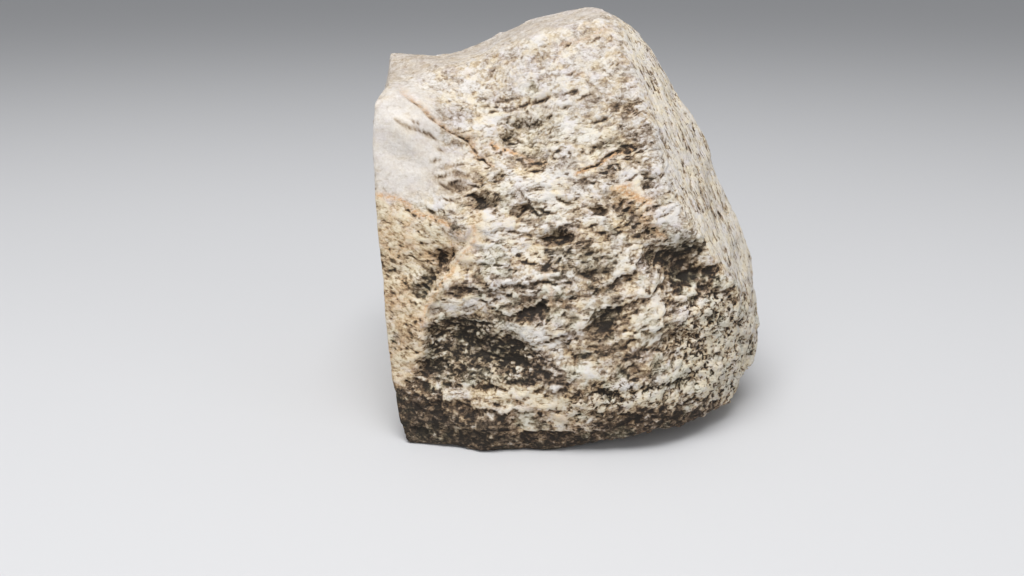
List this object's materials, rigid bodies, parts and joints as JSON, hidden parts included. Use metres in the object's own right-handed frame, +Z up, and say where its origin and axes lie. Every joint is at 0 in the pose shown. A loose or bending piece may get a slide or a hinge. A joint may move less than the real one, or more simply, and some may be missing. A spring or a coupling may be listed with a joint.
{
  "type": "chondrite meteorite",
  "caption": "Weathered stony meteorite, a broken fragment with a straight left face, a pointed top, a pitted scaly front and a flat spot underneath to rest on.",
  "frame": {"origin": "on the rest plane, under the middle of the stone's bounding box", "axes": "+Z up, -Y towards the viewer of the pictured front, +X to the viewer's right"},
  "size_m": [0.0506, 0.0456, 0.0512],
  "materials": {
    "stone": "rough weathered stone, pale grey and tan with dark brown pits"
  },
  "bodies": {
    "root": {"meteorite": "stone"}
  },
  "joints": []
}
